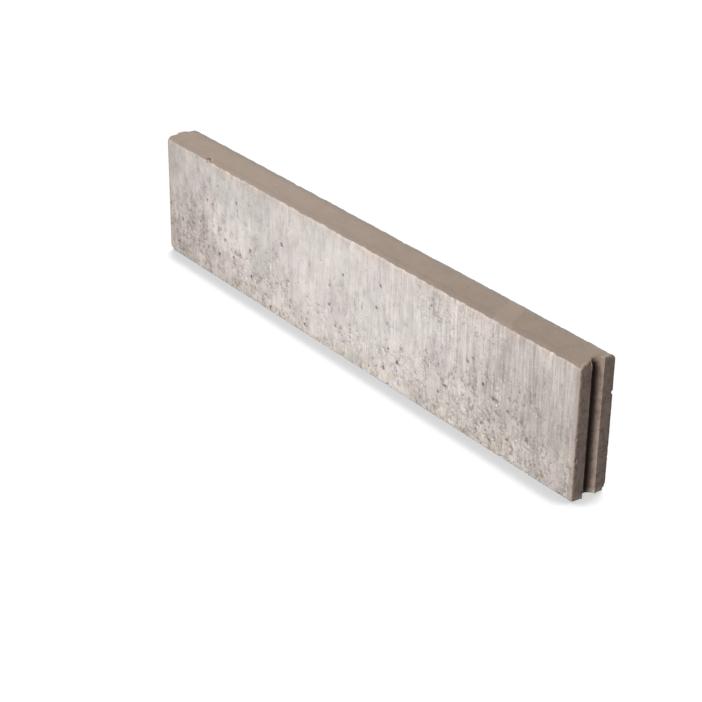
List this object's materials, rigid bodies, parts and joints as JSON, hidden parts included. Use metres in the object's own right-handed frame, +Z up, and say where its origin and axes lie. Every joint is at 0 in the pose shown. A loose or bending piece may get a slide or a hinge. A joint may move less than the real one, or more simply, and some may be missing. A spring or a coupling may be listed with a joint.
{
  "type": "concrete kerb stone",
  "caption": "Straight cast concrete edging kerb with a rounded top, a vertical groove in one end and a matching tongue on the other, for laying end to end.",
  "frame": {"origin": "centre of the foot, midway between the two shoulder faces", "axes": "+X along the stone towards its grooved end, +Y through its thickness, +Z up from the foot to the rounded top"},
  "size_m": [1.008, 0.06, 0.2],
  "materials": {
    "concrete": "cast concrete, fine sandy texture, matt, with small pits and vertical drag marks on its faces"
  },
  "bodies": {
    "root": {"kerb_stone": "concrete"}
  },
  "joints": []
}
